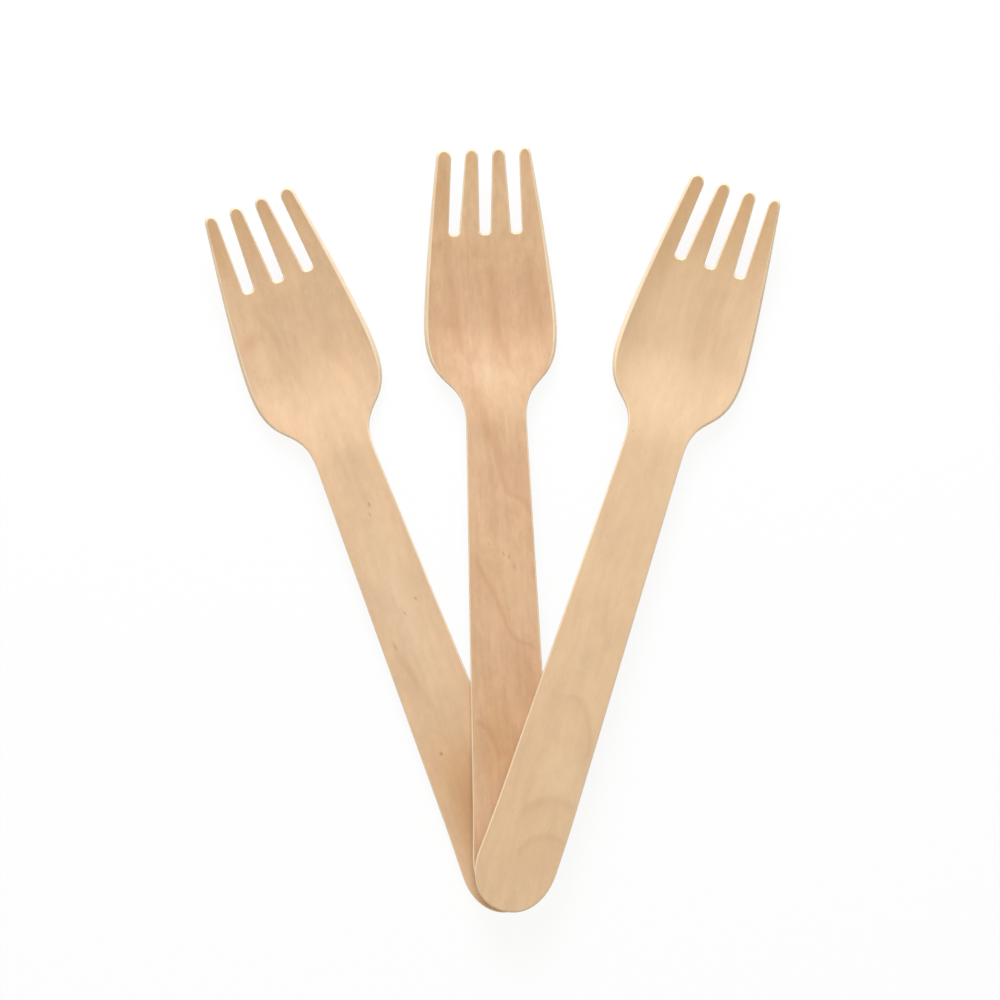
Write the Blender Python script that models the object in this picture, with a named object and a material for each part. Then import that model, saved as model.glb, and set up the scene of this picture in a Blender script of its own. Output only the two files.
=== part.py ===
import math

import bmesh
import bpy
import numpy as np
from mathutils import Matrix, Vector
from mathutils.bvhtree import BVHTree
from mathutils.geometry import delaunay_2d_cdt

# All sizes are in metres and all angles in degrees.
# Each fork lies along its own +Y, from the round end of the handle at y = 0 to the tips of the tines.

# Lengths along the fork
HANDLE_LENGTH = 0.1018
SHOULDER_LENGTH = 0.0200
HEAD_LENGTH = 0.0373
TINE_LENGTH = 0.0175
HANDLE_END_ROUND = 0.0109

# Widths across the fork
HANDLE_WIDTH = 0.0168
NECK_WIDTH = 0.0127
HEAD_WIDTH = 0.0273
TIPS_WIDTH = 0.0197

# How far each curve of the outline keeps the direction that it starts or ends in
NECK_CURVE = 0.0103
SHOULDER_CURVE = 0.0135
HEAD_SIDE_CURVE = 0.0060
TIP_SIDE_CURVE = 0.0140
TIP_TAPER = 8.0

# Tines and the slots between them
TINE_COUNT = 4
TINE_TIP_ROUND = 0.0018
SLOT_ROOT_WIDTH = 0.0023
SLOT_MOUTH_WIDTH = 0.0029
SLOT_CORNER = 0.0009

# Veneer sheet and the form that it is pressed to
VENEER = 0.0017
EDGE_ROUND = 0.0004
BOWL_DROP = 0.0027
TIP_RISE = 0.0065
TIP_RISE_POWER = 1.5
SIDE_RISE = 0.0016
SIDE_RISE_POWER = 4

# Spacing of the surface's points where it is curved and where it is flat, how far the inner ones keep
# from the outline as a share of that spacing, and the distance within which points become one
CURVED_STEP = 0.0020
FLAT_STEP = 0.0030
CLEAR_OF_OUTLINE = 0.6
MERGE_DISTANCE = 0.0000001
ROUND_STEPS = 7
CORNER_STEPS = 3
EDGE_SEGMENTS = 2
SHARP_ANGLE = 50.0

# A fork that lies on another keeps this gap to it, and one that is nearer than the contact distance touches
SEAT_GAP = 0.0003
CONTACT_DISTANCE = 0.000005
STEEPEST_PITCH = 12.0
SEATING_ROUNDS = 30

# The forks from the bottom of the pile to the top: lean of the fork to the right, place of its handle's end
# beside the bottom fork's, sideways shift of its head and of its tines' tips, and colour
FORKS = {
    "left_fork": {
        "lean": -21.03, "end_x": 0.0, "end_y": 0.0,
        "head_shift": 0.00014, "tine_lean": -0.0002, "colour": (0.78, 0.55, 0.34),
    },
    "middle_fork": {
        "lean": -2.29, "end_x": -0.0010, "end_y": 0.0007,
        "head_shift": -0.00045, "tine_lean": 0.0003, "colour": (0.71, 0.47, 0.28),
    },
    "right_fork": {
        "lean": 18.04, "end_x": -0.0039, "end_y": 0.0003,
        "head_shift": -0.00035, "tine_lean": 0.0003, "colour": (0.78, 0.55, 0.34),
    },
}
WOOD_ROUGHNESS = 0.62

WIDEST = HANDLE_LENGTH + SHOULDER_LENGTH
FORK_LENGTH = WIDEST + HEAD_LENGTH
SLOT_ROOT = FORK_LENGTH - TINE_LENGTH
TIP_START = FORK_LENGTH - TINE_TIP_ROUND


def clear_scene():
    for obj in list(bpy.data.objects):
        bpy.data.objects.remove(obj, do_unlink=True)


def ease(share):
    """Rise from 0 to 1 that is level at both ends."""
    share = min(max(share, 0.0), 1.0)
    return share * share * (3.0 - 2.0 * share)


def bezier(start, start_arm, end_arm, end):
    """Points of a cubic curve, without its last point."""
    points = []
    steps = math.ceil(math.dist(start, end) / CURVED_STEP)
    for step in range(steps):
        t = step / steps
        s = 1.0 - t
        weights = (s ** 3, 3 * s * s * t, 3 * s * t * t, t ** 3)
        arms = (start, start_arm, end_arm, end)
        points.append(tuple(sum(w * p[axis] for w, p in zip(weights, arms)) for axis in (0, 1)))
    return points


def straight(start, end, longest_step):
    """Even points of a straight line, without its last point."""
    count = max(1, math.ceil(math.dist(start, end) / longest_step))
    return [
        tuple(a + (b - a) * step / count for a, b in zip(start, end))
        for step in range(count)
    ]


def half_ellipse(centre, across, along, first_angle, steps):
    """Half an ellipse turning anticlockwise from first_angle, without its last point."""
    angles = [math.radians(first_angle + 180.0 * step / steps) for step in range(steps)]
    return [(centre[0] + across * math.cos(a), centre[1] + along * math.sin(a)) for a in angles]


def right_side():
    """The right edge from the handle's round end up to the start of the outer tine's tip."""
    round_top = (HANDLE_WIDTH / 2, HANDLE_END_ROUND)
    neck = (NECK_WIDTH / 2, HANDLE_LENGTH)
    widest = (HEAD_WIDTH / 2, WIDEST)
    tip = (TIPS_WIDTH / 2, TIP_START)
    narrowing = Vector(neck) - Vector(round_top)
    neck_arm = Vector(neck) + NECK_CURVE * narrowing.normalized()
    shoulder_arm = (widest[0], widest[1] - SHOULDER_CURVE)
    side_arm = (widest[0], widest[1] + HEAD_SIDE_CURVE)
    taper = math.radians(TIP_TAPER)
    tip_arm = (tip[0] + TIP_SIDE_CURVE * math.sin(taper), tip[1] - TIP_SIDE_CURVE * math.cos(taper))
    points = straight(round_top, neck, FLAT_STEP)
    points += bezier(neck, neck_arm, shoulder_arm, widest)
    points += bezier(widest, side_arm, tip_arm, tip)
    return points, tip


def side_width(points, height):
    """Half the head's width where the right edge passes a height."""
    ys = [y for _, y in points]
    xs = [x for x, _ in points]
    return float(np.interp(height, ys, xs))


def slot_edges(side_points, tine_lean):
    """For each slot from right to left: its right and left edges at the root and at the mouth."""
    half_root = side_width(side_points, SLOT_ROOT)
    root_pitch = (2 * half_root + SLOT_ROOT_WIDTH) / TINE_COUNT
    mouth_pitch = (TIPS_WIDTH + SLOT_MOUTH_WIDTH) / TINE_COUNT
    slots = []
    for index in range(TINE_COUNT - 1):
        place = (TINE_COUNT - 2) / 2 - index
        root = place * root_pitch - tine_lean
        mouth = place * mouth_pitch + tine_lean
        slots.append({
            "root": (root + SLOT_ROOT_WIDTH / 2, root - SLOT_ROOT_WIDTH / 2),
            "mouth": (mouth + SLOT_MOUTH_WIDTH / 2, mouth - SLOT_MOUTH_WIDTH / 2),
        })
    return slots


def slot_outline(slot):
    """One slot from its right edge at the mouth down round its root and up its left edge."""
    right, left = slot["root"]
    corner = min(SLOT_CORNER, (right - left) / 2)
    points = straight((slot["mouth"][0], TIP_START), (right, SLOT_ROOT + corner), CURVED_STEP)
    centre_y = SLOT_ROOT + corner
    turns = [math.radians(90.0 * step / CORNER_STEPS) for step in range(CORNER_STEPS + 1)]
    points += [(right - corner + corner * math.cos(t), centre_y - corner * math.sin(t)) for t in turns]
    points += [(left + corner - corner * math.sin(t), centre_y - corner * math.cos(t)) for t in turns]
    points += straight((left, SLOT_ROOT + corner), (slot["mouth"][1], TIP_START), CURVED_STEP)[1:]
    return points


def tine_tip(right, left):
    """The round end of one tine, from its right edge over to its left."""
    return half_ellipse(((right + left) / 2, TIP_START), (right - left) / 2, TINE_TIP_ROUND, 0.0, ROUND_STEPS)


def fork_outline(head_shift, tine_lean):
    """The fork's closed outline seen from above, anticlockwise."""
    side_points, tip = right_side()
    slots = slot_edges(side_points, tine_lean)
    points = half_ellipse((0.0, HANDLE_END_ROUND), HANDLE_WIDTH / 2, HANDLE_END_ROUND, 180.0, 2 * ROUND_STEPS)
    points += side_points
    right = tip[0]
    for slot in slots:
        points += tine_tip(right, slot["mouth"][0])
        points += slot_outline(slot)
        right = slot["mouth"][1]
    points += tine_tip(right, -tip[0])
    points += [(-x, y) for x, y in reversed(side_points[1:] + [tip])]
    shifted = [(x + head_shift * ease((y - HANDLE_LENGTH) / SHOULDER_LENGTH), y) for x, y in points]
    return without_doubles(shifted)


def without_doubles(points):
    """The outline with points that fall on their neighbour dropped."""
    nearest = EDGE_ROUND / 2
    return [p for index, p in enumerate(points) if math.dist(p, points[index - 1]) > nearest]


def lattice(outline):
    """Staggered points inside the outline, closer together on the pressed head than on the flat handle."""
    points = []
    stretches = ((0.0, HANDLE_LENGTH, 2 * FLAT_STEP), (HANDLE_LENGTH, FORK_LENGTH, CURVED_STEP))
    for low, high, step in stretches:
        half_count = math.ceil(HEAD_WIDTH / 2 / step)
        for row in range(math.floor((high - low) / step) + 1):
            stagger = 0.5 * (row % 2)
            points += [((column + stagger) * step, low + row * step, step)
                       for column in range(-half_count, half_count + 1)]
    points = np.array(points)
    starts = np.array(outline)
    runs = np.roll(starts, -1, axis=0) - starts
    offsets = points[:, None, :2] - starts[None]
    shares = np.clip((offsets * runs).sum(-1) / (runs ** 2).sum(-1), 0.0, 1.0)
    distances = np.linalg.norm(offsets - shares[..., None] * runs[None], axis=-1).min(axis=1)
    clear = distances > CLEAR_OF_OUTLINE * points[:, 2]
    return [tuple(point) for point in points[clear, :2]]


def pressed_height(x, y):
    """Height of the sheet's middle above the flat handle."""
    shoulder = ease((y - HANDLE_LENGTH) / SHOULDER_LENGTH)
    beyond = max(0.0, (y - WIDEST) / HEAD_LENGTH)
    sides = SIDE_RISE * abs(x / (HEAD_WIDTH / 2)) ** SIDE_RISE_POWER
    return shoulder * (sides - BOWL_DROP) + TIP_RISE * beyond ** TIP_RISE_POWER


def pressed_sheet(name, head_shift, tine_lean):
    """The sheet's middle surface, filled with triangles and pressed to its form."""
    outline = fork_outline(head_shift, tine_lean)
    flat_points = [Vector(p) for p in outline + lattice(outline)]
    boundary = list(range(len(outline)))
    corners, _, triangles, _, _, _ = delaunay_2d_cdt(flat_points, [], [boundary], 1, MERGE_DISTANCE)
    mesh = bpy.data.meshes.new(name)
    mesh.from_pydata([(p.x, p.y, pressed_height(p.x, p.y)) for p in corners], [], triangles)
    sheet = bmesh.new()
    sheet.from_mesh(mesh)
    loose = [vert for vert in sheet.verts if not vert.link_faces]
    bmesh.ops.delete(sheet, geom=loose, context="VERTS")
    bmesh.ops.recalc_face_normals(sheet, faces=sheet.faces)
    if sum(face.normal.z for face in sheet.faces) < 0:
        bmesh.ops.reverse_faces(sheet, faces=sheet.faces)
    sheet.to_mesh(mesh)
    sheet.free()
    return mesh


def add_thickness(fork):
    """The sheet gets the veneer's thickness square to its surface, with its cut edges rounded over."""
    solid = fork.modifiers.new("veneer", "SOLIDIFY")
    solid.thickness = VENEER
    solid.offset = 0.0
    solid.use_even_offset = True
    solid.use_quality_normals = True
    edge = fork.modifiers.new("edge", "BEVEL")
    edge.width = EDGE_ROUND
    edge.segments = EDGE_SEGMENTS
    edge.limit_method = "ANGLE"
    edge.angle_limit = math.radians(SHARP_ANGLE)


def wood(name, colour):
    material = bpy.data.materials.new(name)
    material.use_nodes = True
    shader = material.node_tree.nodes["Principled BSDF"]
    shader.inputs["Base Color"].default_value = (*colour, 1.0)
    shader.inputs["Roughness"].default_value = WOOD_ROUGHNESS
    shader.inputs["Metallic"].default_value = 0.0
    return material


def make_fork(name, design):
    mesh = pressed_sheet(name, design["head_shift"], design["tine_lean"])
    mesh.materials.append(wood(name + "_birch", design["colour"]))
    fork = bpy.data.objects.new(name, mesh)
    bpy.context.scene.collection.objects.link(fork)
    add_thickness(fork)
    return fork


def solid_shape(fork):
    """The fork's finished surface in its own frame: its points, and a tree for finding hits on it."""
    graph = bpy.context.evaluated_depsgraph_get()
    finished = fork.evaluated_get(graph)
    mesh = finished.to_mesh()
    points = np.array([vert.co[:] for vert in mesh.vertices])
    faces = [list(face.vertices) for face in mesh.polygons]
    tree = BVHTree.FromPolygons([Vector(point) for point in points], faces)
    finished.to_mesh_clear()
    return {"points": points, "tree": tree}


def in_world(points, pose):
    turn = np.array(pose.to_3x3())
    return points @ turn.T + np.array(pose.translation)


def pose_on_floor(shape, design, pitch):
    """Place a fork with its tines raised by pitch and its lowest point on the floor."""
    turn = Matrix.Rotation(math.radians(-design["lean"]), 4, "Z") @ Matrix.Rotation(pitch, 4, "X")
    lowest = in_world(shape["points"], turn)[:, 2].min()
    return Matrix.Translation((design["end_x"], design["end_y"], -lowest)) @ turn


def room_above(lower, upper, upper_pose):
    """Least upright distance from the top of a lower fork to the underside of an upper one."""
    least = math.inf
    for cast_from, from_pose, cast_on, on_pose, way in (
        (upper, upper_pose, lower, lower["pose"], Vector((0, 0, -1))),
        (lower, lower["pose"], upper, upper_pose, Vector((0, 0, 1))),
    ):
        to_local = on_pose.inverted()
        direction = to_local.to_3x3() @ way
        for point in in_world(in_world(cast_from["points"], from_pose), to_local):
            start = Vector(point) - 2 * VENEER * direction
            hit, normal, _, distance = cast_on["tree"].ray_cast(start, direction)
            if hit is not None and normal.dot(direction) < 0:
                least = min(least, distance - 2 * VENEER)
    return least


def handle_room(shape, design, below, pitch):
    """How far the handle could still come down at a pitch, on to the floor or on to the forks below."""
    pose = pose_on_floor(shape, design, pitch)
    handle = shape["points"][shape["points"][:, 1] < HANDLE_LENGTH]
    room = in_world(handle, pose)[:, 2].min()
    for lower in below:
        room = min(room, room_above(lower, shape, pose) - SEAT_GAP)
    return room


def seat(shape, design, below):
    """Rest the bowl on the floor and lower the handle until it meets what lies under it."""
    high = math.radians(STEEPEST_PITCH)
    low = -high
    for _ in range(SEATING_ROUNDS):
        middle = (low + high) / 2
        if handle_room(shape, design, below, middle) > CONTACT_DISTANCE:
            low = middle
        else:
            high = middle
    return pose_on_floor(shape, design, low)


def build_pack():
    pack = bpy.data.objects.new("fork_pack", None)
    bpy.context.scene.collection.objects.link(pack)
    piled = []
    for name, design in FORKS.items():
        fork = make_fork(name, design)
        shape = solid_shape(fork)
        shape["pose"] = seat(shape, design, piled)
        piled.append(shape)
        fork.parent = pack
        fork.matrix_world = shape["pose"]
    corners = np.concatenate([in_world(shape["points"], shape["pose"]) for shape in piled])
    centre = (corners.min(axis=0) + corners.max(axis=0)) / 2
    pack.location = (-centre[0], -centre[1], 0.0)


clear_scene()
build_pack()
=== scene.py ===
import math

import bpy
import numpy as np
from mathutils import Matrix, Vector
from mathutils.geometry import delaunay_2d_cdt


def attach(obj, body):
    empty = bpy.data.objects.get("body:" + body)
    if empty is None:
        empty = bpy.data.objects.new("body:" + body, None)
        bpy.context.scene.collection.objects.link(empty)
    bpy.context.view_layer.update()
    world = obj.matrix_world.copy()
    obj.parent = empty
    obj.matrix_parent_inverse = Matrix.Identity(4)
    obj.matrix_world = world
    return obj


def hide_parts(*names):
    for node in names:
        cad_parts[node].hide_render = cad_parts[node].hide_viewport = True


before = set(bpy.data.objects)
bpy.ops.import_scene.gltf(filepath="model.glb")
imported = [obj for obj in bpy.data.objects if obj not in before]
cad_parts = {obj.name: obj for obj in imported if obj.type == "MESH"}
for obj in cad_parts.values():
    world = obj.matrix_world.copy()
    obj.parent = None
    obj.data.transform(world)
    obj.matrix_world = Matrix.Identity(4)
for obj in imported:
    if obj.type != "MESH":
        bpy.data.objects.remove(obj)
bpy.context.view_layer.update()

mm = 0.001

# One fork as it is cut, in millimetres: it lies along +Y from its handle's round end at y = 0 to its tips
cut = {
    "handleLength": 101.8,
    "shoulderLength": 20.0,
    "headLength": 37.3,
    "tineLength": 17.5,
    "handleRound": 10.9,
    "endPower": 0.91,     # 1 makes the handle's end an ellipse, less makes it blunter
    "endReach": 24.0,     # how far up the handle a shift of its end is felt
    "handleWidth": 16.8,
    "neckWidth": 12.7,
    "headWidth": 27.3,
    "tipsWidth": 19.7,
    "neckCurve": 11.0,
    "shoulderCurve": 13.5,
    "sideCurve": 6.0,
    "tipCurve": 14.0,
    "tipTaper": 8.0,      # degrees
    "tines": 4,
    "tipRound": 1.8,
    "slotRootWidth": 2.3,
    "slotMouthWidth": 2.9,
    "slotCorner": 0.9,
}
widest = cut["handleLength"] + cut["shoulderLength"]
forkLength = widest + cut["headLength"]
slotRoot = forkLength - cut["tineLength"]
tipStart = forkLength - cut["tipRound"]

# The veneer and the form it is pressed to, in millimetres
press = {
    "veneer": 1.7,
    "edgeRound": 0.4,
    "bowlDrop": 2.7,
    "tipRise": 6.5,
    "tipPower": 1.5,
    "sideRise": 1.6,
    "sidePower": 4,
}

# How finely the sheet is drawn, in millimetres
fine = {
    "outlineStep": 0.5,
    "headStep": 0.8,
    "handleStep": 1.6,
    "offOutline": 0.6,    # share of the step that inner points keep from the outline
    "roundSteps": 14,
    "cornerSteps": 7,
    "edgeSegments": 5,
    "faceSegments": 1,    # how many of these keep the face's wood
}

# The forks from the bottom of the pile up. The end, the shifts and tineLean are in millimetres, lean and
# pitch in degrees. headSwell is the share by which the head's middle is wider.
forks = {
    "leftFork": {
        "node": "left_fork",
        "end": (5.832, -79.855, 0.850),
        "lean": -21.03,
        "pitch": 1.273,
        "endShift": (-0.3, 0.9),
        "headSwell": 0.022,
        "headShift": 0.15,
        "tineLean": -0.2,
    },
    "middleFork": {
        "node": "middle_fork",
        "end": (4.832, -79.158, 4.110),
        "lean": -2.29,
        "pitch": -0.263,
        "endShift": (-0.3, 0.9),
        "headSwell": 0.0,
        "headShift": -0.45,
        "tineLean": 0.3,
    },
    "rightFork": {
        "node": "right_fork",
        "end": (1.932, -79.555, 7.472),
        "lean": 18.04,
        "pitch": -1.843,
        "endShift": (-0.5, 0.7),
        "headSwell": 0.006,
        "headShift": -0.35,
        "tineLean": 0.3,
    },
}


def screenColour(red, green, blue):
    # a colour read off a screen, 0 to 255, as the linear one that shaders use
    linear = []
    for value in (red, green, blue):
        share = value / 255
        linear.append(share / 12.92 if share <= 0.04045 else ((share + 0.055) / 1.055) ** 2.4)
    return (*linear, 1.0)


# Outline of a fork


def ease(share):
    share = np.clip(share, 0.0, 1.0)
    return share * share * (3.0 - 2.0 * share)


def curve(start, startArm, endArm, end):
    # a cubic curve without its last point
    count = math.ceil(math.dist(start, end) / fine["outlineStep"])
    t = (np.arange(count) / count)[:, None]
    start, startArm, endArm, end = (np.array(p) for p in (start, startArm, endArm, end))
    u = 1 - t
    return u ** 3 * start + 3 * u ** 2 * t * startArm + 3 * u * t ** 2 * endArm + t ** 3 * end


def line(start, end):
    # even points of a straight line without its last point
    count = max(1, math.ceil(math.dist(start, end) / fine["outlineStep"]))
    t = (np.arange(count) / count)[:, None]
    return np.array(start) + t * (np.array(end) - np.array(start))


def arc(centre, across, along, fromAngle, toAngle, steps, power=1.0):
    # part of an ellipse, or of a blunter round, without its last point
    angles = np.radians(fromAngle + (toAngle - fromAngle) * np.arange(steps) / steps)
    x, y = (np.sign(part) * np.abs(part) ** power for part in (np.cos(angles), np.sin(angles)))
    return np.column_stack((centre[0] + across * x, centre[1] + along * y))


def rightSide():
    roundTop = np.array((cut["handleWidth"] / 2, cut["handleRound"]))
    neck = np.array((cut["neckWidth"] / 2, cut["handleLength"]))
    side = np.array((cut["headWidth"] / 2, widest))
    tip = np.array((cut["tipsWidth"] / 2, tipStart))
    narrowing = (neck - roundTop) / np.linalg.norm(neck - roundTop)
    taper = math.radians(cut["tipTaper"])
    tipArm = tip + cut["tipCurve"] * np.array((math.sin(taper), -math.cos(taper)))
    return np.concatenate((
        line(roundTop, neck),
        curve(neck, neck + cut["neckCurve"] * narrowing, side - (0, cut["shoulderCurve"]), side),
        curve(side, side + (0, cut["sideCurve"]), tipArm, tip),
        [tip],
    ))


def slotEdges(side, tineLean):
    # right and left edge of each slot at its root and at its mouth, from the right slot to the left one
    halfRoot = np.interp(slotRoot, side[:, 1], side[:, 0])
    rootPitch = (2 * halfRoot + cut["slotRootWidth"]) / cut["tines"]
    mouthPitch = (cut["tipsWidth"] + cut["slotMouthWidth"]) / cut["tines"]
    slots = []
    for index in range(cut["tines"] - 1):
        place = (cut["tines"] - 2) / 2 - index
        root = place * rootPitch - tineLean
        mouth = place * mouthPitch + tineLean
        slots.append((
            root + cut["slotRootWidth"] / 2, root - cut["slotRootWidth"] / 2,
            mouth + cut["slotMouthWidth"] / 2, mouth - cut["slotMouthWidth"] / 2,
        ))
    return slots


def slotLine(rootRight, rootLeft, mouthRight, mouthLeft):
    corner = min(cut["slotCorner"], (rootRight - rootLeft) / 2)
    level = slotRoot + corner
    steps = fine["cornerSteps"]
    return np.concatenate((
        line((mouthRight, tipStart), (rootRight, level)),
        arc((rootRight - corner, level), corner, corner, 0, -90, steps),
        arc((rootLeft + corner, level), corner, corner, -90, -180, steps),
        line((rootLeft, level), (mouthLeft, tipStart)),
    ))


def forkOutline(design):
    # the closed outline seen from above, anticlockwise
    side = rightSide()
    reach = cut["handleRound"]
    end = arc((0, reach), cut["handleWidth"] / 2, reach, 180, 360, 2 * fine["roundSteps"], cut["endPower"])
    parts = [end, side[:-1]]
    tipRight = side[-1][0]
    for rootRight, rootLeft, mouthRight, mouthLeft in slotEdges(side, design["tineLean"]):
        parts.append(tineTip(tipRight, mouthRight))
        parts.append(slotLine(rootRight, rootLeft, mouthRight, mouthLeft))
        tipRight = mouthLeft
    parts.append(tineTip(tipRight, -side[-1][0]))
    parts.append(side[:0:-1] * (-1, 1))
    outline = np.concatenate(parts)
    toHead = ease((outline[:, 1] - cut["handleLength"]) / cut["shoulderLength"])
    toEnd = ease(1 - outline[:, 1] / cut["endReach"])
    alongHead = np.clip((outline[:, 1] - cut["handleLength"]) / (forkLength - cut["handleLength"]), 0, 1)
    outline[:, 0] *= 1 + design["headSwell"] * 4 * alongHead * (1 - alongHead)
    outline[:, 0] += design["headShift"] * toHead
    return outline + toEnd[:, None] * design["endShift"]


def tineTip(right, left):
    centre = ((right + left) / 2, tipStart)
    return arc(centre, (right - left) / 2, cut["tipRound"], 0, 180, fine["roundSteps"])


# The pressed sheet


def innerPoints(outline):
    # staggered points inside the outline and clear of it
    runs = np.roll(outline, -1, axis=0) - outline
    lengths = (runs ** 2).sum(axis=1)
    kept = []
    neck = cut["handleLength"]
    stretches = ((0.0, neck, fine["handleStep"]), (neck, forkLength, fine["headStep"]))
    for low, high, step in stretches:
        halfCount = math.ceil(cut["headWidth"] / 2 / step)
        columns = np.arange(-halfCount, halfCount + 1)
        for row in range(math.floor((high - low) / step) + 1):
            across = (columns + 0.5 * (row % 2)) * step
            points = np.column_stack((across, np.full(len(columns), low + row * step)))
            offsets = points[:, None] - outline[None]
            shares = np.clip((offsets * runs).sum(axis=2) / lengths, 0, 1)
            distances = np.linalg.norm(offsets - shares[..., None] * runs, axis=2).min(axis=1)
            clear = distances > fine["offOutline"] * step
            kept.append(points[clear & insideOutline(points, outline)])
    return np.concatenate(kept)


def insideOutline(points, outline):
    # counts how often a line to the right of each point crosses the outline
    x, y = points[:, :1], points[:, 1:]
    x1, y1 = outline.T
    x2, y2 = np.roll(outline, -1, axis=0).T
    rise = np.where(y2 == y1, 1, y2 - y1)
    crossed = ((y1 > y) != (y2 > y)) & (x < x1 + (y - y1) * (x2 - x1) / rise)
    return crossed.sum(axis=1) % 2 == 1


def pressedHeight(x, y):
    # height of the sheet's middle above the flat handle
    shoulder = ease((y - cut["handleLength"]) / cut["shoulderLength"])
    beyond = np.clip((y - widest) / cut["headLength"], 0, None)
    sides = press["sideRise"] * np.abs(x / (cut["headWidth"] / 2)) ** press["sidePower"]
    return shoulder * (sides - press["bowlDrop"]) + press["tipRise"] * beyond ** press["tipPower"]


def sheetNormals(x, y):
    # which way the pressed sheet faces
    step = 0.001
    slopeX = (pressedHeight(x + step, y) - pressedHeight(x - step, y)) / (2 * step)
    slopeY = (pressedHeight(x, y + step) - pressedHeight(x, y - step)) / (2 * step)
    facing = np.column_stack((-slopeX, -slopeY, np.ones_like(slopeX)))
    return facing / np.linalg.norm(facing, axis=1)[:, None]


def onSheet(flat, height):
    # points this far above the sheet's middle, and which way the sheet faces there
    facing = sheetNormals(flat[:, 0], flat[:, 1])
    middle = np.column_stack((flat, pressedHeight(flat[:, 0], flat[:, 1])))
    return middle + height * facing, facing


def outwardWays(outline):
    runs = np.roll(outline, -1, axis=0) - np.roll(outline, 1, axis=0)
    runs /= np.linalg.norm(runs, axis=1)[:, None]
    return np.column_stack((runs[:, 1], -runs[:, 0]))


def coveredPoints(ring):
    # the ring's points, then points inside it, and the triangles that cover them
    flat = np.concatenate((ring, innerPoints(ring)))
    corners = [Vector(point) for point in flat]
    border = [list(range(len(ring)))]
    insideOnly, nearness = 1, 1e-5
    covered = delaunay_2d_cdt(corners, [], border, insideOnly, nearness)
    faces, sources = covered[2:4]
    return flat, [[sources[corner][0] for corner in face] for face in faces]


def edgeRing(outline, outward, side, angle):
    # the ring of points this far round the edge from its face, and which way the edge faces there
    radius = press["edgeRound"]
    height = side * (press["veneer"] / 2 - radius * (1 - math.cos(angle)))
    ring, up = onSheet(outline - radius * (1 - math.sin(angle)) * outward, height)
    away = np.column_stack((outward, np.zeros(len(outline))))
    away -= (away * up).sum(axis=1)[:, None] * up
    away /= np.linalg.norm(away, axis=1)[:, None]
    return ring, math.cos(angle) * side * up + math.sin(angle) * away


def forkSolid(outline):
    # the whole fork around its sheet's middle: two faces, and an edge that is rounded over above and below
    outward = outwardWays(outline)
    flat, triangles = coveredPoints(outline - press["edgeRound"] * outward)
    top, facing = onSheet(flat, press["veneer"] / 2)
    bottom, _ = onSheet(flat, -press["veneer"] / 2)
    points, normals = [top, bottom], [facing, -facing]
    turns = [math.pi / 2 * (step + 1) / fine["edgeSegments"] for step in range(fine["edgeSegments"])]
    stops = [(1, angle) for angle in turns] + [(-1, angle) for angle in reversed(turns)]
    for side, angle in stops:
        ring, away = edgeRing(outline, outward, side, angle)
        points.append(ring)
        normals.append(away)
    # where the points of each ring begin, from the top face's border down to the bottom face's
    count, around = len(flat), len(outline)
    starts = [0, *(2 * count + around * index for index in range(len(stops))), count]
    faces = [tuple(triangle) for triangle in triangles]
    faces += [tuple(count + corner for corner in reversed(triangle)) for triangle in triangles]
    onEdge = [False] * len(faces)
    lastOnEdge = len(stops) - fine["faceSegments"]
    for index, (upperStart, lowerStart) in enumerate(zip(starts, starts[1:])):
        upper, lower = upperStart + np.arange(around), lowerStart + np.arange(around)
        quads = np.column_stack((upper, lower, np.roll(lower, -1), np.roll(upper, -1)))
        faces += [tuple(quad) for quad in quads.tolist()]
        onEdge += [fine["faceSegments"] <= index <= lastOnEdge] * around
    return np.concatenate(points), np.concatenate(normals), faces, onEdge


# Shader helpers


def fillInputs(tree, node, inputs):
    # inputs gives a value or a socket for each named or numbered input
    for key, value in inputs.items():
        if isinstance(value, bpy.types.NodeSocket):
            tree.links.new(value, node.inputs[key])
        else:
            node.inputs[key].default_value = value


def addNode(tree, kind, inputs=None, **settings):
    node = tree.nodes.new("ShaderNode" + kind)
    for name, value in settings.items():
        setattr(node, name, value)
    fillInputs(tree, node, inputs or {})
    return node


def addGroup(tree, group, inputs):
    node = tree.nodes.new("ShaderNodeGroup")
    node.node_tree = group
    fillInputs(tree, node, inputs)
    return node.outputs


def sums(tree, operation, *values, clamp=False):
    return addNode(tree, "Math", dict(enumerate(values)), operation=operation, use_clamp=clamp).outputs[0]


def vectors(tree, operation, *values):
    return addNode(tree, "VectorMath", dict(enumerate(values)), operation=operation).outputs


def mixColours(tree, share, first, second):
    mix = addNode(tree, "Mix", data_type="RGBA")
    fillInputs(tree, mix, {0: share, 6: first, 7: second})
    return mix.outputs[2]


def stretched(tree, vector, across, along, through):
    # the vector measured in steps of these many millimetres
    return vectors(tree, "MULTIPLY", vector, (1 / across, 1 / along, 1 / through))[0]


def noiseOn(tree, vector, seed, sizes):
    inputs = {"Vector": stretched(tree, vector, *sizes["size"]), "W": seed, "Scale": 1.0}
    inputs.update({"Detail": sizes["detail"], "Roughness": sizes["roughness"]})
    return addNode(tree, "TexNoise", inputs, noise_dimensions="4D").outputs[0]


def cellsOn(tree, vector, **settings):
    # how far a place is from the middle of its cell, and the cell's random numbers
    inputs = {"Vector": vector, "Scale": 1.0, "Randomness": 1.0}
    cells = addNode(tree, "TexVoronoi", inputs, **settings).outputs
    return cells["Distance"], addNode(tree, "SeparateColor", {"Color": cells["Color"]}).outputs


def ranged(tree, value, low, high, toLow=0.0, toHigh=1.0, shape="SMOOTHSTEP"):
    inputs = {"Value": value, "From Min": low, "From Max": high, "To Min": toLow, "To Max": toHigh}
    return addNode(tree, "MapRange", inputs, interpolation_type=shape).outputs[0]


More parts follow.
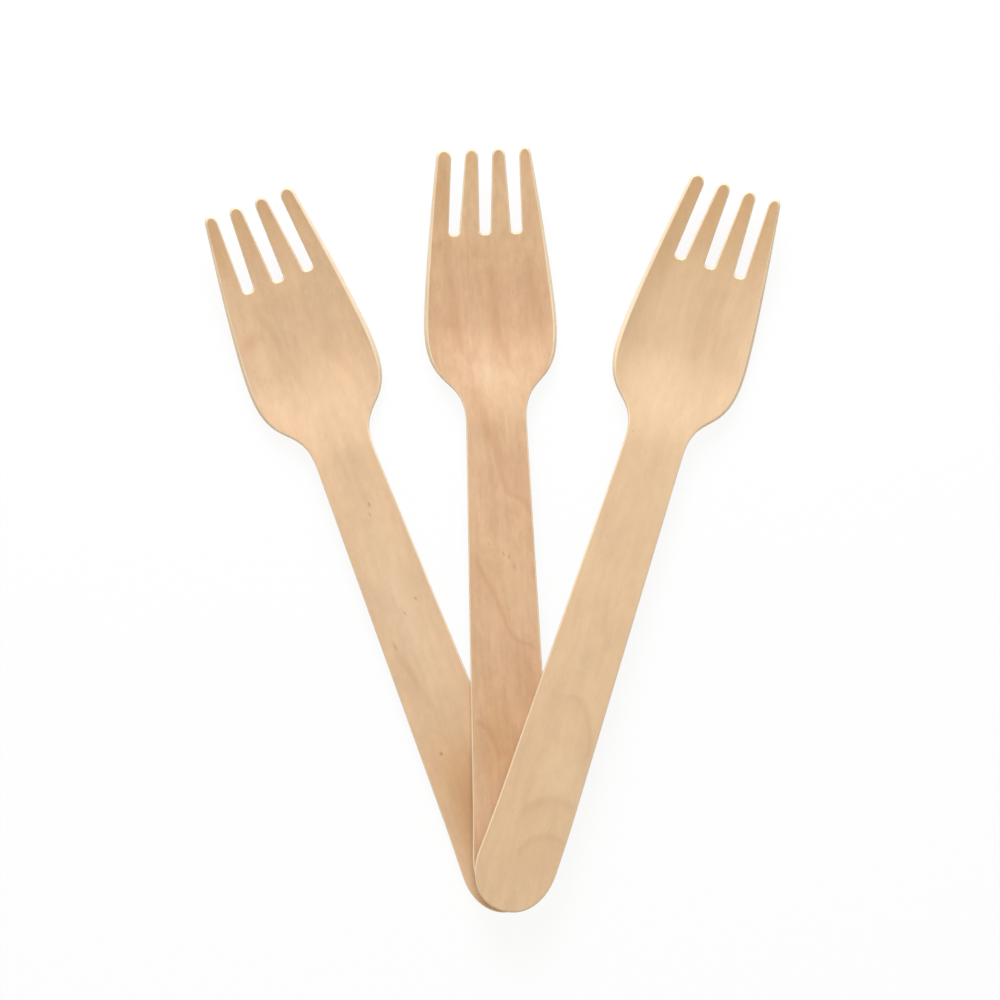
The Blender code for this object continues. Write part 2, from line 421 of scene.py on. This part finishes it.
def fallingOff(tree, reach, power):
    # 1 where reach is nothing, and from there e to the power of minus reach to this power
    return sums(tree, "EXPONENT", sums(tree, "MULTIPLY", sums(tree, "POWER", reach, power), -1.0))


def newGroup(name, inputs, outputs):
    # a group, its inputs and its outputs, which are made of each kind of socket under these labels
    group = bpy.data.node_groups.new(name, "ShaderNodeTree")
    for way, sockets in (("INPUT", inputs), ("OUTPUT", outputs)):
        for kind, labels in sockets.items():
            for label in labels:
                group.interface.new_socket(label, in_out=way, socket_type="NodeSocket" + kind)
    return group, group.nodes.new("NodeGroupInput").outputs, group.nodes.new("NodeGroupOutput").inputs


# Effects that birch veneer shows, each a group of its own

# Sizes are in millimetres across the grain, along it and through the sheet. A range gives the values at which
# a mark starts and at which it is full.
figure = {
    "sway": {"size": (18, 34, 60), "detail": 2.0, "roughness": 0.5},
    "hair": {"size": (0.3, 5.5, 0.3), "detail": 2.5, "roughness": 0.6},
    "strand": {"size": (0.95, 10, 1.2), "detail": 1.5, "roughness": 0.5},
    "hairShare": 0.4,               # of the streaks, the rest is strand
    "streakRange": (0.3, 0.7),
    "rayCell": (0.34, 1.9, 0.34),
    "rayRange": (0.42, 0.12),
    "emptyCells": 0.55,             # share of the cells that hold no ray
    "bands": {"size": (3.2, 55, 8), "detail": 2.0, "roughness": 0.55, "range": (0.3, 0.7)},
    "clouds": {"size": (5.0, 13, 12), "detail": 3.0, "roughness": 0.6, "range": (0.32, 0.68)},
    "mottle": {"size": (1.3, 2.3, 2), "detail": 2.0, "roughness": 0.6, "range": (0.3, 0.7)},
    "fleckCell": (7.0, 15.4, 1.0),
    "fleckRadius": (0.018, 0.040),  # smallest and largest, as shares of a cell
    "fleckRange": (1.0, 0.2),       # in radii
    "fleckCells": 0.10,             # share of the cells that hold a fleck
    "sideRange": (-0.5, 0.7),       # in widths of a growth line
    "endRange": (0.5, 0.38),        # in lengths of a growth line, from its middle
    "leastBend": 0.5,               # millimetres that the curve of a straight line still spans
}


def grainDirection():
    # bends the fork's own place gently from side to side, and turns it into the direction of its grain
    inputs = {"Vector": ("Place",), "Float": ("Slant", "Wander", "Seed")}
    group, given, made = newGroup("grainDirection", inputs, {"Vector": ("Grain", "Swayed")})
    sway = noiseOn(group, given["Place"], given["Seed"], figure["sway"])
    aside = sums(group, "MULTIPLY", sums(group, "SUBTRACT", sway, 0.5), given["Wander"])
    shift = addNode(group, "CombineXYZ", {"X": aside}).outputs[0]
    swayed = vectors(group, "ADD", given["Place"], shift)[0]
    angle = sums(group, "RADIANS", given["Slant"])
    turned = addNode(group, "VectorRotate", {"Vector": swayed, "Angle": angle}, rotation_type="Z_AXIS")
    group.links.new(turned.outputs[0], made["Grain"])
    group.links.new(swayed, made["Swayed"])
    return group


def fibreStreaks():
    # fine lengthwise streaks, and the short dark dashes of the rays between them
    inputs = {"Vector": ("Grain",), "Float": ("Seed",)}
    group, given, made = newGroup("fibreStreaks", inputs, {"Float": ("Streaks", "Rays")})
    hair = noiseOn(group, given["Grain"], given["Seed"], figure["hair"])
    strand = noiseOn(group, given["Grain"], given["Seed"], figure["strand"])
    share = figure["hairShare"]
    both = sums(group, "MULTIPLY_ADD", hair, share, sums(group, "MULTIPLY", strand, 1 - share))
    group.links.new(ranged(group, both, *figure["streakRange"]), made["Streaks"])
    distance, picks = cellsOn(group, stretched(group, given["Grain"], *figure["rayCell"]))
    dash = ranged(group, distance, *figure["rayRange"])
    chosen = sums(group, "GREATER_THAN", picks[0], figure["emptyCells"])
    group.links.new(sums(group, "MULTIPLY", dash, chosen), made["Rays"])
    return group


def toneBands():
    # wide bands along the grain, softer clouds, and small mottling
    inputs = {"Vector": ("Grain",), "Float": ("Seed",)}
    group, given, made = newGroup("toneBands", inputs, {"Float": ("Bands", "Clouds", "Mottle")})
    for label in ("Bands", "Clouds", "Mottle"):
        sizes = figure[label.lower()]
        noise = noiseOn(group, given["Grain"], given["Seed"], sizes)
        group.links.new(ranged(group, noise, *sizes["range"]), made[label])
    return group


def poreFlecks():
    # a few small dark flecks, each drawn out a little along the grain
    inputs = {"Vector": ("Grain",), "Float": ("Seed",)}
    group, given, made = newGroup("poreFlecks", inputs, {"Float": ("Flecks",)})
    shift = addNode(group, "CombineXYZ", {"X": given["Seed"], "Y": given["Seed"]}).outputs[0]
    moved = vectors(group, "ADD", stretched(group, given["Grain"], *figure["fleckCell"]), shift)[0]
    distance, picks = cellsOn(group, moved, voronoi_dimensions="2D")
    smallest, largest = figure["fleckRadius"]
    radius = sums(group, "MULTIPLY_ADD", picks[1], largest - smallest, smallest)
    inside = ranged(group, sums(group, "DIVIDE", distance, radius), *figure["fleckRange"])
    chosen = sums(group, "LESS_THAN", picks[0], figure["fleckCells"])
    group.links.new(sums(group, "MULTIPLY", inside, chosen), made["Flecks"])
    return group


def markFrame():
    # how far a place is along and across from a mark's own point, when the mark is turned by its slant
    inputs = {"Vector": ("Place",), "Float": ("X", "Y", "Slant")}
    group, given, made = newGroup("markFrame", inputs, {"Float": ("Across", "Along")})
    point = addNode(group, "CombineXYZ", {"X": given["X"], "Y": given["Y"]}).outputs[0]
    angle = sums(group, "RADIANS", given["Slant"])
    cosine, sine = sums(group, "COSINE", angle), sums(group, "SINE", angle)
    aside = addNode(group, "CombineXYZ", {"X": cosine, "Y": sums(group, "MULTIPLY", sine, -1.0)}).outputs[0]
    ahead = addNode(group, "CombineXYZ", {"X": sine, "Y": cosine}).outputs[0]
    for way, label in ((aside, "Across"), (ahead, "Along")):
        reached = vectors(group, "DOT_PRODUCT", given["Place"], way)["Value"]
        start = vectors(group, "DOT_PRODUCT", point, way)["Value"]
        group.links.new(sums(group, "SUBTRACT", reached, start), made[label])
    return group


def growthLine():
    # the tone of a growth line of the tree: crisp on one side, fading out on the other
    inputs = {"Float": ("Across", "Share", "Width", "Fade", "Depth")}
    group, given, made = newGroup("growthLine", inputs, {"Float": ("Tone",)})
    far = sums(group, "ABSOLUTE", given["Across"])
    crisp = fallingOff(group, sums(group, "DIVIDE", far, given["Width"]), 2.0)
    soft = fallingOff(group, sums(group, "DIVIDE", far, given["Fade"]), 1.0)
    onSide = ranged(group, sums(group, "DIVIDE", given["Across"], given["Width"]), *figure["sideRange"])
    shade = sums(group, "MULTIPLY", sums(group, "MULTIPLY", soft, onSide), given["Depth"])
    tone = sums(group, "ADD", crisp, shade, clamp=True)
    fromMiddle = sums(group, "ABSOLUTE", sums(group, "SUBTRACT", given["Share"], 0.5))
    ends = ranged(group, fromMiddle, *figure["endRange"])
    group.links.new(sums(group, "MULTIPLY", tone, ends), made["Tone"])
    return group


def softPatch():
    # an oval cloud with soft borders
    inputs = {"Float": ("Across", "Along", "Half Width", "Half Length")}
    group, given, made = newGroup("softPatch", inputs, {"Float": ("Tone",)})
    across = sums(group, "DIVIDE", given["Across"], given["Half Width"])
    along = sums(group, "DIVIDE", given["Along"], given["Half Length"])
    squares = [sums(group, "MULTIPLY", part, part) for part in (across, along)]
    reach = sums(group, "SQRT", sums(group, "ADD", *squares))
    group.links.new(ranged(group, reach, 1.0, 0.0), made["Tone"])
    return group


grainDirectionGroup = grainDirection()
fibreStreaksGroup = fibreStreaks()
toneBandsGroup = toneBands()
poreFlecksGroup = poreFlecks()
markFrameGroup = markFrame()
growthLineGroup = growthLine()
softPatchGroup = softPatch()
print("wood effects made")

# The tones that marks on the wood, painted shade and painted highlight among them, turn it towards, as a
# screen shows them
tones = {
    "pale": (247, 224, 190),
    "straw": (242, 208, 164),
    "pink": (214, 168, 138),
    "warm": (208, 160, 104),
    "red": (190, 126, 90),
    "brown": (174, 116, 68),
    "fleck": (112, 76, 48),
}

# Each fork's own wood, with patches of painted shade and painted highlight among its marks. Marks are placed
# in millimetres: x across the fork, y from its handle's end. A line runs through its points and fades out to
# its left, seen from its first point to its last, or to its right where turn is -1. A patch is an oval: half
# gives its half width and half length, and slant turns it, in degrees.
woodsAndPaintedLight = {
    "leftFork": {
        "face": (237, 200, 161),
        "cloud": (228, 192, 156),
        "seed": 3.0,
        "slant": 4.0,
        "bandShare": 0.07,
        "streakLight": 0.025,
        "mottleLight": 0.055,
        "lines": [
            {"tone": "brown", "strength": 0.10, "width": 0.8, "fade": 2.0, "depth": 0.5, "turn": 1,
             "points": [(-8.5, 139.5), (-6.5, 135), (-5, 131), (-4, 126), (-3.2, 121), (-2.3, 117)]},
            {"tone": "brown", "strength": 0.08, "width": 0.9, "fade": 2.5, "depth": 0.6, "turn": 1,
             "points": [(3.5, 127), (6, 122.5), (7.6, 118), (8.6, 113.5)]},
            {"tone": "brown", "strength": 0.14, "width": 0.7, "fade": 1.5, "depth": 0.5, "turn": -1,
             "points": [(-5, 61), (-4, 57.5), (-3, 54), (-2.4, 50), (-2.6, 46)]},
        ],
        "patches": [
            {"tone": "brown", "strength": 0.20, "at": (-10, 131.8), "slant": 62, "half": (2.6, 4.4)},
            {"tone": "pink", "strength": 0.16, "at": (3.5, 129.5), "slant": 0, "half": (9, 9)},
            {"tone": "brown", "strength": 0.10, "at": (-1.5, 137.5), "slant": 0, "half": (8, 5)},
            {"tone": "pale", "strength": 0.30, "at": (-0.5, 70), "slant": 0, "half": (8, 36)},
            {"tone": "pink", "strength": 0.12, "at": (-2, 53), "slant": 0, "half": (5, 9)},
            # partly painted shade: this patch darkens and warms the tines where they rise away from the key,
            # partly the wood's own warmer tips
            {"tone": "warm", "strength": 0.40, "at": (0, 160), "slant": 0, "half": (30, 22)},
            {"tone": "warm", "strength": 0.26, "at": (-10, 152), "slant": -4, "half": (3, 12)},
            # painted shade, partly darker wood: these two patches darken and warm the handle beside the edge
            # of the middle fork that lies over it
            {"tone": "warm", "strength": 0.55, "at": (-1.5, 25), "slant": 0, "half": (9, 27)},
            {"tone": "brown", "strength": 0.22, "at": (-1, 24), "slant": 8, "half": (6, 19)},
            {"tone": "fleck", "strength": 0.40, "at": (1.0, 91.3), "slant": -6, "half": (0.35, 0.9)},
            {"tone": "fleck", "strength": 0.28, "at": (0.4, 89.2), "slant": -4, "half": (0.3, 0.8)},
            {"tone": "fleck", "strength": 0.36, "at": (3.3, 69.5), "slant": -20, "half": (0.4, 0.7)},
            {"tone": "fleck", "strength": 0.30, "at": (-0.1, 67.4), "slant": -10, "half": (0.3, 0.8)},
            {"tone": "fleck", "strength": 0.30, "at": (-4.6, 61.5), "slant": -5, "half": (0.5, 1.6)},
            {"tone": "fleck", "strength": 0.50, "at": (-3.5, 37.2), "slant": 0, "half": (0.5, 0.6)},
        ],
    },
    "middleFork": {
        "face": (227, 188, 150),
        "cloud": (220, 178, 140),
        "seed": 11.0,
        "slant": -2.0,
        "bandShare": 0.08,
        "streakLight": 0.045,
        "mottleLight": 0.075,
        "lines": [
            {"tone": "brown", "strength": 0.18, "width": 0.8, "fade": 2.2, "depth": 0.55, "turn": -1,
             "points": [(-8.8, 140), (-8.6, 135), (-8, 130), (-7.5, 126), (-7.0, 121), (-6.0, 115.5)]},
            {"tone": "brown", "strength": 0.18, "width": 0.7, "fade": 2.4, "depth": 0.55, "turn": -1,
             "points": [(0.3, 137), (0.3, 132), (0.7, 127), (1.4, 121.5), (2.8, 116), (4.8, 111)]},
            {"tone": "brown", "strength": 0.14, "width": 0.8, "fade": 2.0, "depth": 0.6, "turn": -1,
             "points": [(7.5, 138), (8.3, 132), (9.1, 127), (9.9, 122), (10.8, 117)]},
            {"tone": "warm", "strength": 0.18, "width": 1.2, "fade": 1.5, "depth": 0.5, "turn": 1,
             "points": [(-4.6, 110), (-3.4, 106), (-2.6, 102.5), (-1.2, 98)]},
            {"tone": "red", "strength": 0.21, "width": 0.5, "fade": 2.8, "depth": 0.6, "turn": 1,
             "points": [(-2.8, 103), (-1.2, 98), (-0.3, 94), (0.7, 90), (1.8, 87.7), (4.2, 86), (6, 84),
                        (6.8, 80)]},
            {"tone": "red", "strength": 0.25, "width": 0.45, "fade": 2.0, "depth": 0.4, "turn": -1,
             "points": [(-6, 76), (-4.5, 72), (-1.5, 65), (-0.3, 62), (1.4, 57.8), (3, 56.2), (5, 55.6),
                        (7, 54)]},
            {"tone": "red", "strength": 0.26, "width": 0.5, "fade": 4.0, "depth": 0.7, "turn": 1,
             "points": [(-7.6, 40.2), (-5.5, 39), (-4, 37), (-3, 34.6), (-2.4, 31)]},
        ],
        "patches": [
            {"tone": "pink", "strength": 0.06, "at": (-2, 134), "slant": 0, "half": (9, 10)},
            {"tone": "brown", "strength": 0.16, "at": (-9.8, 139.4), "slant": 75, "half": (1.8, 3.8)},
            {"tone": "straw", "strength": 0.42, "at": (1, 150), "slant": 0, "half": (30, 27)},
            {"tone": "brown", "strength": 0.12, "at": (-3.5, 138), "slant": 90, "half": (3.5, 6)},
            {"tone": "warm", "strength": 0.34, "at": (-9.6, 150), "slant": -3, "half": (3, 14)},
            # partly painted shade: this patch darkens and warms the tines where they rise away from the key,
            # partly the wood's own warmer tips
            {"tone": "warm", "strength": 0.30, "at": (0, 163), "slant": 0, "half": (30, 12)},
            # partly painted highlight: these pale and straw patches brighten the neck where it dips towards
            # the key, partly lighter streaks of the wood
            {"tone": "pale", "strength": 0.26, "at": (-1.8, 112), "slant": 0, "half": (4.8, 8)},
            {"tone": "straw", "strength": 0.36, "at": (2.5, 106), "slant": 0, "half": (7, 16)},
            {"tone": "straw", "strength": 0.25, "at": (0, 70), "slant": 0, "half": (10, 16)},
            {"tone": "pink", "strength": 0.16, "at": (4, 92), "slant": 0, "half": (5, 9)},
            # painted shade, partly darker wood: these patches darken and warm the handle in the valley beside
            # the edge of the right fork that lies over it
            {"tone": "brown", "strength": 0.22, "at": (3.4, 48), "slant": -20, "half": (5.5, 15)},
            {"tone": "warm", "strength": 0.46, "at": (-1, 34), "slant": -12, "half": (8, 20)},
            {"tone": "fleck", "strength": 0.30, "at": (0.6, 74.6), "slant": -14, "half": (0.35, 0.9)},
            {"tone": "fleck", "strength": 0.30, "at": (1.7, 73.9), "slant": -8, "half": (0.35, 0.8)},
            {"tone": "fleck", "strength": 0.24, "at": (2.6, 71.8), "slant": -8, "half": (0.3, 0.8)},
            {"tone": "fleck", "strength": 0.20, "at": (-2.6, 76.8), "slant": -8, "half": (0.3, 0.7)},
        ],
    },
    "rightFork": {
        "face": (235, 201, 161),
        "cloud": (229, 195, 157),
        "seed": 23.0,
        "slant": -3.0,
        "bandShare": 0.07,
        "streakLight": 0.025,
        "mottleLight": 0.035,
        "lines": [
            {"tone": "brown", "strength": 0.06, "width": 0.8, "fade": 2.0, "depth": 0.5, "turn": -1,
             "points": [(1.8, 139), (1.4, 133), (1.8, 127), (2.6, 121)]},
            {"tone": "brown", "strength": 0.08, "width": 0.8, "fade": 2.0, "depth": 0.5, "turn": -1,
             "points": [(4.6, 139), (4.4, 134), (5.4, 129), (6.4, 123)]},
            {"tone": "brown", "strength": 0.07, "width": 0.7, "fade": 1.6, "depth": 0.3, "turn": 1,
             "points": [(0, 70), (1.2, 66), (2.4, 62), (3.6, 58)]},
            {"tone": "brown", "strength": 0.13, "width": 0.6, "fade": 3.0, "depth": 0.6, "turn": -1,
             "points": [(-4.5, 45.5), (-2, 47.4), (1, 47.6), (3, 46), (4.6, 43.4), (6.2, 39.5), (6.8, 35)]},
            {"tone": "brown", "strength": 0.12, "width": 0.8, "fade": 4.0, "depth": 0.7, "turn": -1,
             "points": [(-2.8, 20.5), (-1, 23.6), (1.5, 25.6), (4.5, 26.2), (8, 25.6)]},
            {"tone": "brown", "strength": 0.14, "width": 0.7, "fade": 4.5, "depth": 0.7, "turn": -1,
             "points": [(-0.8, 12), (0.6, 15.8), (3, 18), (5.5, 18.6), (8.5, 18)]},
        ],
        "patches": [
            # partly painted highlight: these pale patches brighten the neck where it dips towards the key,
            # partly lighter wood
            {"tone": "pale", "strength": 0.16, "at": (-2, 112), "slant": 0, "half": (5, 7)},
            {"tone": "pale", "strength": 0.12, "at": (4.4, 111), "slant": -10, "half": (2, 7)},
            {"tone": "pale", "strength": 0.16, "at": (2, 31), "slant": 0, "half": (6, 8)},
            {"tone": "pink", "strength": 0.14, "at": (3, 128), "slant": 0, "half": (8, 9)},
            # partly painted shade: this patch darkens and warms the tines where they rise away from the key,
            # partly the wood's own warmer tips
            {"tone": "warm", "strength": 0.56, "at": (0, 162), "slant": 0, "half": (30, 32)},
            {"tone": "warm", "strength": 0.16, "at": (-10.5, 143), "slant": -3, "half": (3.5, 20)},
            {"tone": "pink", "strength": 0.16, "at": (4, 12), "slant": 0, "half": (6, 8)},
        ],
    },
}

# How strongly the smaller marks show and how the wood shines, the same on every fork
finish = {
    "wander": 2.4,          # millimetres
    "rayShare": 0.06,
    "fleckShare": 0.18,
    "smooth": 0.56,
    "rough": 0.70,
    "specular": 0.2,
    "bumpHeight": 0.009,    # millimetres
    "fleckDepth": 2.0,      # times the height of a streak
    "lineUneven": (0.75, 1.2),    # how the mottling weakens and strengthens a growth line
    # partly painted highlight: the light cream of the cut edge is made lighter still to stand for the bright
    # line the rounded edge shows
    "cutAndHighlightColour": (248, 227, 195),
    "cutDark": (220, 184, 144),
    "cutBands": 0.35,
    "cutRays": 0.25,
    "cutStreakLight": 0.05,
    "cutHeight": 2.0,       # times the height on the faces
}


def grainOf(tree, wood):
    place = addNode(tree, "Attribute", attribute_name="forkPlace").outputs["Vector"]
    inputs = {"Place": place, "Slant": wood["slant"], "Wander": finish["wander"], "Seed": wood["seed"]}
    return addGroup(tree, grainDirectionGroup, inputs)


def lineTone(tree, place, growth):
    # the line's bends are a curve over the straight way from its first point to its last, which is its 0.5
    points = [Vector(point) for point in growth["points"]]
    whole = points[-1] - points[0]
    slant = math.degrees(math.atan2(whole.x, whole.y))
    ahead = whole.normalized()
    aside = Vector((ahead.y, -ahead.x))
    offsets = [(point - points[0]).dot(aside) for point in points]
    bend = max(figure["leastBend"], *(abs(offset) for offset in offsets))
    start = {"Place": place, "X": points[0].x, "Y": points[0].y, "Slant": slant}
    fromStart = addGroup(tree, markFrameGroup, start)
    share = sums(tree, "DIVIDE", fromStart["Along"], whole.length)
    curveNode = tree.nodes.new("ShaderNodeFloatCurve")
    bends = curveNode.mapping.curves[0].points
    for point, offset in list(zip(points, offsets))[1:-1]:
        bends.new((point - points[0]).dot(ahead) / whole.length, 0.5 + offset / bend / 2)
    bends[0].location = (0, 0.5)
    bends[len(bends) - 1].location = (1, 0.5)
    curveNode.mapping.update()
    tree.links.new(share, curveNode.inputs["Value"])
    centre = sums(tree, "MULTIPLY", sums(tree, "SUBTRACT", curveNode.outputs[0], 0.5), 2 * bend)
    off = sums(tree, "MULTIPLY", sums(tree, "SUBTRACT", fromStart["Across"], centre), -growth["turn"])
    inputs = {"Across": off, "Share": share, "Width": growth["width"]}
    inputs.update({"Fade": growth["fade"], "Depth": growth["depth"]})
    return addGroup(tree, growthLineGroup, inputs)["Tone"]


def patchTone(tree, place, patch):
    x, y = patch["at"]
    halfWidth, halfLength = patch["half"]
    fromMiddle = addGroup(tree, markFrameGroup, {"Place": place, "X": x, "Y": y, "Slant": patch["slant"]})
    inputs = {"Across": fromMiddle["Across"], "Along": fromMiddle["Along"]}
    inputs.update({"Half Width": halfWidth, "Half Length": halfLength})
    return addGroup(tree, softPatchGroup, inputs)["Tone"]


def placedMarks(tree, place, wood, uneven):
    # how far the lines and patches turn the wood towards each tone
    shares = {}
    for growth in wood["lines"]:
        tone = sums(tree, "MULTIPLY", lineTone(tree, place, growth), uneven)
        before = shares.get(growth["tone"], 0.0)
        shares[growth["tone"]] = sums(tree, "MULTIPLY_ADD", tone, growth["strength"], before)
    for patch in wood["patches"]:
        before = shares.get(patch["tone"], 0.0)
        tone = patchTone(tree, place, patch)
        shares[patch["tone"]] = sums(tree, "MULTIPLY_ADD", tone, patch["strength"], before)
    return shares


def newMaterial(name):
    material = bpy.data.materials.new(name)
    material.use_nodes = True
    return material, material.node_tree


def finishShader(tree, colour, streaks, height):
    bump = addNode(tree, "Bump", {"Height": height, "Distance": finish["bumpHeight"] * mm, "Strength": 1.0})
    rough = ranged(tree, streaks, 0.0, 1.0, finish["rough"], finish["smooth"], "LINEAR")
    inputs = {"Base Color": colour, "Roughness": rough, "Normal": bump.outputs[0],
              "Specular IOR Level": finish["specular"]}
    fillInputs(tree, tree.nodes["Principled BSDF"], inputs)


def streakedLight(tree, streaks, share):
    # less and more than 1 by up to this share, from streak to streak
    return ranged(tree, streaks, 0.0, 1.0, 1 - share, 1 + share, "LINEAR")


def scaledColour(tree, colour, light):
    return addNode(tree, "VectorMath", {0: colour, "Scale": light}, operation="SCALE").outputs[0]


def faceMaterial(name, wood):
    material, tree = newMaterial(name)
    grain = grainOf(tree, wood)
    fibres = addGroup(tree, fibreStreaksGroup, {"Grain": grain["Grain"], "Seed": wood["seed"]})
    bands = addGroup(tree, toneBandsGroup, {"Grain": grain["Grain"], "Seed": wood["seed"]})
    flecks = addGroup(tree, poreFlecksGroup, {"Grain": grain["Grain"], "Seed": wood["seed"]})["Flecks"]
    uneven = ranged(tree, bands["Mottle"], 0.0, 1.0, *finish["lineUneven"], "LINEAR")
    shares = placedMarks(tree, grain["Swayed"], wood, uneven)
    shares["brown"] = sums(tree, "MULTIPLY_ADD", bands["Bands"], wood["bandShare"], shares["brown"])
    shares["fleck"] = sums(tree, "MULTIPLY_ADD", flecks, finish["fleckShare"], shares.get("fleck", 0.0))
    shares["fleck"] = sums(tree, "MULTIPLY_ADD", fibres["Rays"], finish["rayShare"], shares["fleck"])
    colour = mixColours(tree, bands["Clouds"], screenColour(*wood["face"]), screenColour(*wood["cloud"]))
    for tone, rgb in tones.items():
        if tone in shares:
            colour = mixColours(tree, shares[tone], colour, screenColour(*rgb))
    light = streakedLight(tree, fibres["Streaks"], wood["streakLight"])
    mottle = sums(tree, "SUBTRACT", bands["Mottle"], 0.5)
    light = sums(tree, "MULTIPLY_ADD", mottle, wood["mottleLight"], light)
    height = sums(tree, "MULTIPLY_ADD", shares["fleck"], -finish["fleckDepth"], fibres["Streaks"])
    finishShader(tree, scaledColour(tree, colour, light), fibres["Streaks"], height)
    return material


def edgeMaterial(name, wood):
    material, tree = newMaterial(name)
    grain = grainOf(tree, wood)["Grain"]
    fibres = addGroup(tree, fibreStreaksGroup, {"Grain": grain, "Seed": wood["seed"] + 1})
    bands = addGroup(tree, toneBandsGroup, {"Grain": grain, "Seed": wood["seed"]})
    share = sums(tree, "MULTIPLY", bands["Bands"], finish["cutBands"])
    share = sums(tree, "MULTIPLY_ADD", fibres["Rays"], finish["cutRays"], share, clamp=True)
    colour = mixColours(tree, share, screenColour(*finish["cutAndHighlightColour"]), screenColour(*finish["cutDark"]))
    light = streakedLight(tree, fibres["Streaks"], finish["cutStreakLight"])
    height = sums(tree, "MULTIPLY", fibres["Streaks"], finish["cutHeight"])
    finishShader(tree, scaledColour(tree, colour, light), fibres["Streaks"], height)
    return material


# The three forks


def makeFork(name, design):
    points, normals, faces, onEdge = forkSolid(forkOutline(design))
    lean, pitch = math.radians(design["lean"]), math.radians(design["pitch"])
    turn = Matrix.Rotation(-lean, 3, "Z") @ Matrix.Rotation(pitch, 3, "X")
    lying = points @ np.array(turn).T + np.array(design["end"])
    mesh = bpy.data.meshes.new(name)
    mesh.from_pydata((lying * mm).tolist(), [], faces)
    mesh.materials.append(faceMaterial(name + "Face", woodsAndPaintedLight[name]))
    mesh.materials.append(edgeMaterial(name + "Edge", woodsAndPaintedLight[name]))
    mesh.polygons.foreach_set("material_index", np.array(onEdge, np.int32))
    mesh.polygons.foreach_set("use_smooth", np.ones(len(faces), bool))
    # each point's place on the fork before it is turned and laid down, which its grain follows
    place = mesh.attributes.new("forkPlace", "FLOAT_VECTOR", "POINT")
    place.data.foreach_set("vector", points.ravel().astype(np.float32))
    mesh.normals_split_custom_set_from_vertices((normals @ np.array(turn).T).tolist())
    fork = bpy.data.objects.new(name, mesh)
    bpy.context.scene.collection.objects.link(fork)
    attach(fork, "root")
    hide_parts(design["node"])
    print(name, "drawn with", len(faces), "faces")


for forkName, forkDesign in forks.items():
    makeFork(forkName, forkDesign)


# Studio

studio = {
    "cameraAt": (0.00149, 0.00665, 1.0),
    "frameWidth": 0.2096,     # how much of the floor the camera sees from side to side
    "sensor": 36.0,           # millimetres
    "domeLevel": 0.46,
    "domeTint": (1.10, 1.03, 0.87),
    "keyLevel": 0.54,
    "keyTint": (0.905, 0.97, 1.11),
    "keyHeight": 35.0,        # degrees above the floor
    "keyAside": -6.0,         # degrees to the right of +Y
    "keyDistance": 0.8,
    "keySize": 0.42,
    "floorHalf": 3.0,
    "floorDrop": 0.01,        # millimetres, so that the bowls don't touch it
    "floorShadow": 0.09,
}


def placeCamera():
    camera = bpy.data.cameras.new("camera")
    camera.sensor_width = studio["sensor"]
    camera.lens = studio["sensor"] * studio["cameraAt"][2] / studio["frameWidth"]
    viewer = bpy.data.objects.new("camera", camera)
    viewer.location = studio["cameraAt"]
    bpy.context.scene.collection.objects.link(viewer)
    bpy.context.scene.camera = viewer


def placeKey():
    height, aside = math.radians(studio["keyHeight"]), math.radians(studio["keyAside"])
    lamp = bpy.data.lights.new("key", "AREA")
    lamp.shape = "SQUARE"
    lamp.size = studio["keySize"]
    lamp.color = studio["keyTint"]
    # the power that makes a level white surface show as keyLevel
    lamp.energy = studio["keyLevel"] * (math.pi * studio["keyDistance"]) ** 2 / math.sin(height)
    level = math.cos(height)
    towards = Vector((math.sin(aside) * level, math.cos(aside) * level, math.sin(height)))
    key = bpy.data.objects.new("key", lamp)
    key.rotation_euler = towards.to_track_quat("Z", "Y").to_euler()
    key.location = towards * studio["keyDistance"]
    bpy.context.scene.collection.objects.link(key)


def seenDirectly(tree):
    # 1 where a ray comes straight from the camera, or through gloss or glass
    path = addNode(tree, "LightPath")
    direct = sums(tree, "MAXIMUM", path.outputs["Is Camera Ray"], path.outputs["Is Glossy Ray"])
    return sums(tree, "MAXIMUM", direct, path.outputs["Is Transmission Ray"])


def lightDome():
    world = bpy.data.worlds.new("dome")
    world.use_nodes = True
    bpy.context.scene.world = world
    tree = world.node_tree
    direct = seenDirectly(tree)
    level = ranged(tree, direct, 0.0, 1.0, studio["domeLevel"], 1.0, "LINEAR")
    tint = mixColours(tree, direct, (*studio["domeTint"], 1), (1, 1, 1, 1))
    fillInputs(tree, tree.nodes["Background"], {"Color": tint, "Strength": level})


def layFloor():
    half = studio["floorHalf"]
    mesh = bpy.data.meshes.new("floor")
    corners = [(-half, -half, 0), (half, -half, 0), (half, half, 0), (-half, half, 0)]
    mesh.from_pydata(corners, [], [(0, 1, 2, 3)])
    floor = bpy.data.objects.new("floor", mesh)
    floor.location.z = -studio["floorDrop"] * mm
    bpy.context.scene.collection.objects.link(floor)
    paper, tree = newMaterial("whitePaper")
    tree.nodes.clear()
    glow = addNode(tree, "Emission", {"Color": (1, 1, 1, 1), "Strength": 1.0})
    matt = addNode(tree, "BsdfDiffuse", {"Color": (1, 1, 1, 1)})
    share = sums(tree, "MULTIPLY", seenDirectly(tree), 1 - studio["floorShadow"])
    both = addNode(tree, "MixShader", {0: share, 1: matt.outputs[0], 2: glow.outputs[0]})
    addNode(tree, "OutputMaterial", {"Surface": both.outputs[0]})
    mesh.materials.append(paper)


placeCamera()
placeKey()
lightDome()
layFloor()
bpy.context.scene.view_settings.view_transform = "Standard"
print("studio set up")
